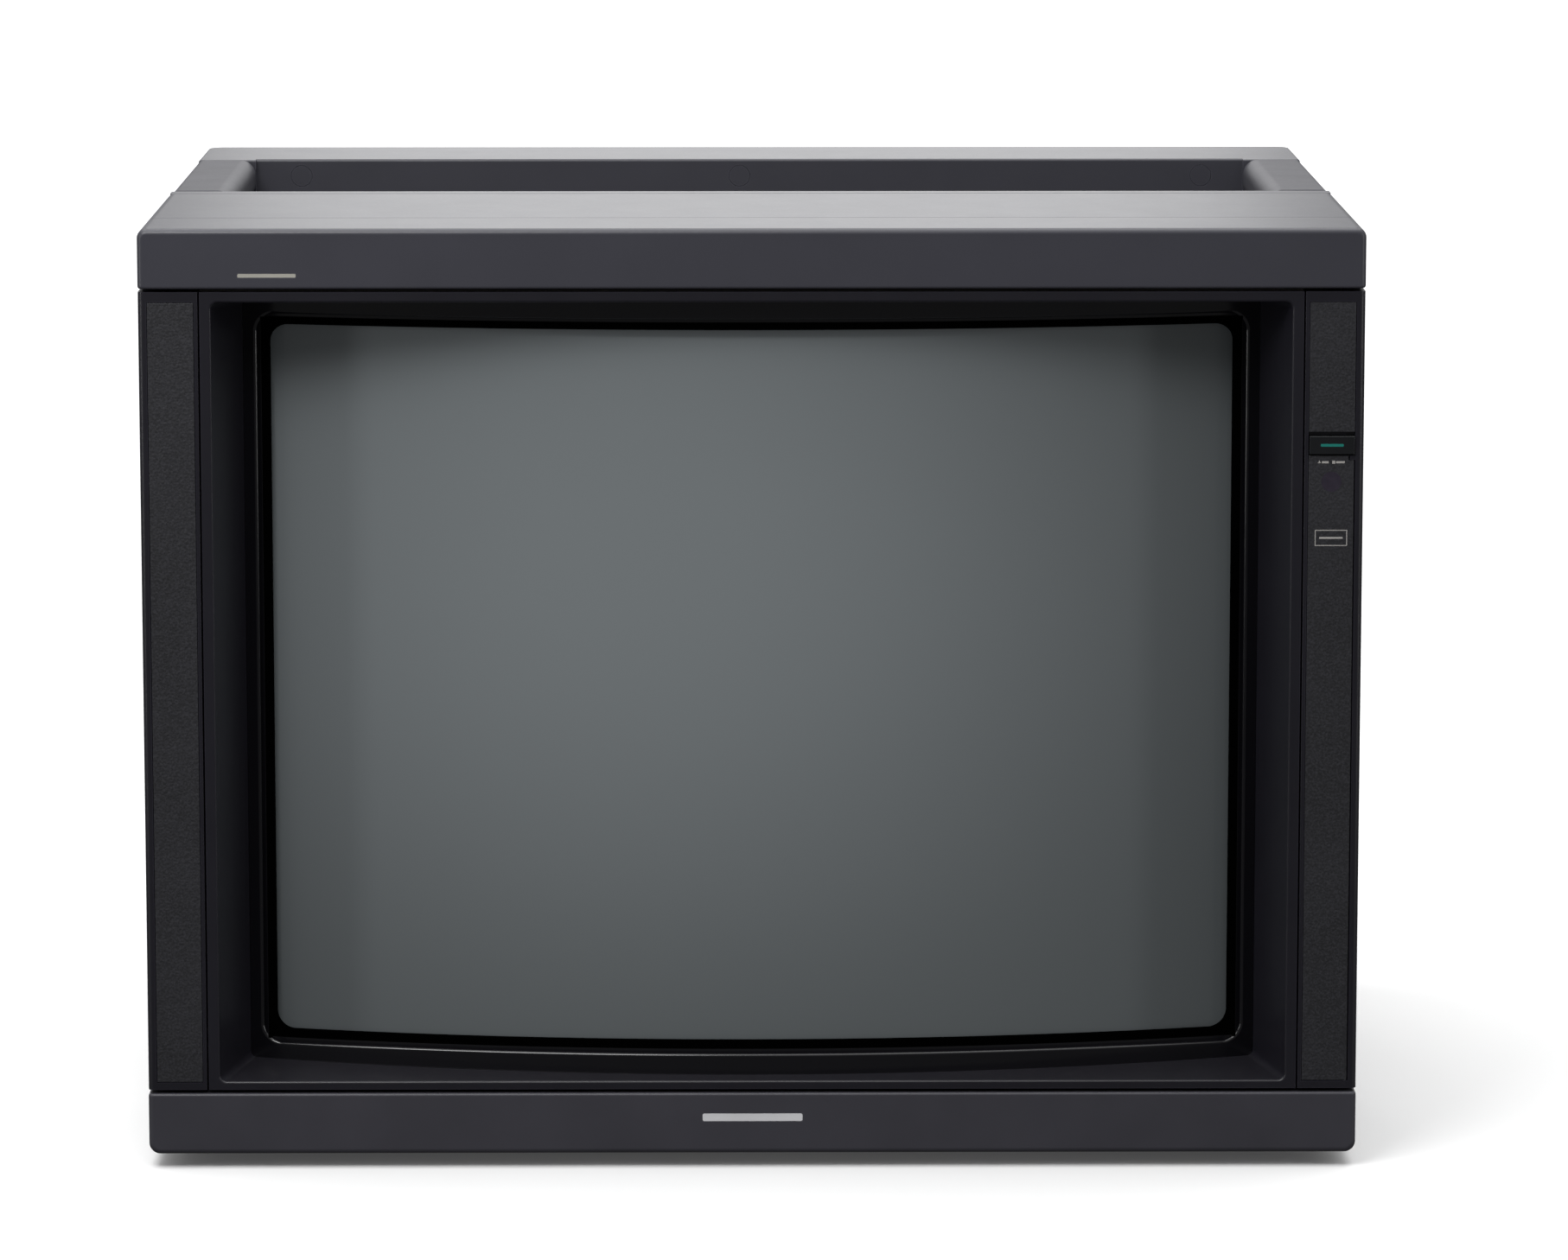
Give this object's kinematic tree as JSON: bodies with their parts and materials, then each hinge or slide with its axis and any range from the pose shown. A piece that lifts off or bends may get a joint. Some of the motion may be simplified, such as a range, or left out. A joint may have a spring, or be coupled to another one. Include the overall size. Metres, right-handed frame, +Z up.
{
  "type": "television monitor",
  "caption": "Cathode ray tube television monitor with a curved face, deep bezel, carrying frame, controls behind a side door and rear terminals.",
  "frame": {"origin": "middle of the footprint, on the surface the feet stand on", "axes": "+Z up, screen facing -Y, +X to the viewer's right"},
  "size_m": [0.65, 0.506, 0.508],
  "materials": {
    "cabinet_plastic": "fine spark-eroded charcoal grey",
    "bezel_plastic": "satin near-black",
    "insert_plastic": "coarse grained dark grey",
    "mask_black": "matt black",
    "cover_plastic": "textured black",
    "knob_plastic": "black",
    "tinted_window": "dark violet, polished",
    "seal_felt": "dusty brown felt",
    "foot_rubber": "black rubber",
    "screen_glass": "tinted grey, polished",
    "funnel_glass": "graphite-coated",
    "band_steel": "zinc plated",
    "jack_metal": "nickel plated",
    "ferrite": "grey ferrite",
    "copper_winding": "enamelled copper",
    "coil_tape": "black cloth tape",
    "sleeve_plastic": "natural nylon",
    "board_laminate": "phenolic board",
    "transformer_block": "potted and varnished"
  },
  "bodies": {
    "cabinet": {"front_hood": "cabinet_plastic", "hood_seal_strip": "seal_felt", "well_front_lip": "cabinet_plastic", "handle_rail_right": "cabinet_plastic", "handle_rail_left": "cabinet_plastic", "handle_crossbar": "cabinet_plastic", "crossbar_plugs": "bezel_plastic", "rear_post_right": "cabinet_plastic", "rear_post_left": "cabinet_plastic", "lower_front_bar": "cabinet_plastic", "base_tray": "bezel_plastic", "rubber_feet": "foot_rubber", "front_bezel": "bezel_plastic", "screen_mask": "mask_black", "left_trim_frame": "bezel_plastic", "left_trim_insert": "insert_plastic", "right_trim_frame": "bezel_plastic", "right_trim_insert": "insert_plastic", "power_switch": "knob_plastic", "power_button_spring": "band_steel", "door_hinge_pin": "band_steel", "control_panel": "cover_plastic", "side_panel_right": "bezel_plastic", "side_panel_left": "bezel_plastic", "tube_face_glass": "screen_glass", "tube_funnel": "funnel_glass", "implosion_band": "band_steel", "tube_screws": "band_steel", "aperture_grille": "band_steel", "electron_gun": "band_steel", "yoke_windings": "copper_winding", "yoke_core": "ferrite", "magnet_sleeve": "sleeve_plastic", "neck_board": "board_laminate", "degaussing_coil": "coil_tape", "anode_cap": "foot_rubber", "anode_lead": "foot_rubber", "chassis_frame": "band_steel", "main_board": "board_laminate", "flyback_transformer": "transformer_block", "mains_transformer": "transformer_block", "rear_cover": "cover_plastic", "cover_screws": "band_steel", "terminal_panel": "cover_plastic", "phono_jacks": "jack_metal", "multi_pin_connector": "knob_plastic", "speaker_clips": "knob_plastic", "mains_inlet": "knob_plastic"},
    "power_button": {"power_button": "insert_plastic"},
    "control_door": {"control_door": "insert_plastic", "remote_window": "tinted_window"},
    "line_switch": {"line_switch": "knob_plastic"},
    "focus_knob": {"focus_knob": "knob_plastic"},
    "input_button": {"input_button": "knob_plastic"},
    "purity_ring": {"purity_ring": "ferrite"},
    "convergence_ring": {"convergence_ring": "ferrite"},
    "brightness_knob": {"brightness_knob": "knob_plastic"},
    "picture_knob": {"picture_knob": "knob_plastic"},
    "colour_knob": {"colour_knob": "knob_plastic"},
    "hue_knob": {"hue_knob": "knob_plastic"}
  },
  "joints": [
    {"name": "power_button_press", "type": "slide", "parent": "cabinet", "child": "power_button", "axis": [0, 1, 0], "range_m": [0, 0.0035], "stiffness_N_per_m": 250, "springref_m": -0.002, "deforming": ["power_button_spring"]},
    {"name": "door_hinge", "type": "hinge", "parent": "cabinet", "child": "control_door", "pos_m": [0.3189, -0.25, 0.25875], "axis": [0, 0, 1], "range_deg": [0, 90]},
    {"name": "input_button_press", "type": "slide", "parent": "cabinet", "child": "input_button", "axis": [0, 1, 0], "range_m": [0, 0.0025], "stiffness_N_per_m": 200, "springref_m": -0.002},
    {"name": "line_switch_slide", "type": "slide", "parent": "cabinet", "child": "line_switch", "axis": [1, 0, 0], "range_m": [0, 0.005]},
    {"name": "focus_turn", "type": "hinge", "parent": "cabinet", "child": "focus_knob", "pos_m": [0.142, 0.128, 0.1156], "axis": [0, 1, 0], "range_deg": [-135, 135]},
    {"name": "brightness_turn", "type": "hinge", "parent": "cabinet", "child": "brightness_knob", "pos_m": [0.30685, -0.2335, 0.3477], "axis": [0, 1, 0], "range_deg": [-140, 140]},
    {"name": "picture_turn", "type": "hinge", "parent": "cabinet", "child": "picture_knob", "pos_m": [0.30685, -0.2335, 0.3057], "axis": [0, 1, 0], "range_deg": [-140, 140]},
    {"name": "colour_turn", "type": "hinge", "parent": "cabinet", "child": "colour_knob", "pos_m": [0.30685, -0.2335, 0.2637], "axis": [0, 1, 0], "range_deg": [-140, 140]},
    {"name": "hue_turn", "type": "hinge", "parent": "cabinet", "child": "hue_knob", "pos_m": [0.30685, -0.2335, 0.2217], "axis": [0, 1, 0], "range_deg": [-140, 140]},
    {"name": "purity_ring_turn", "type": "hinge", "parent": "cabinet", "child": "purity_ring", "pos_m": [0, 0.1223, 0.25875], "axis": [0, 1, 0], "continuous": true},
    {"name": "convergence_ring_turn", "type": "hinge", "parent": "cabinet", "child": "convergence_ring", "pos_m": [0, 0.1289, 0.25875], "axis": [0, 1, 0], "continuous": true}
  ]
}
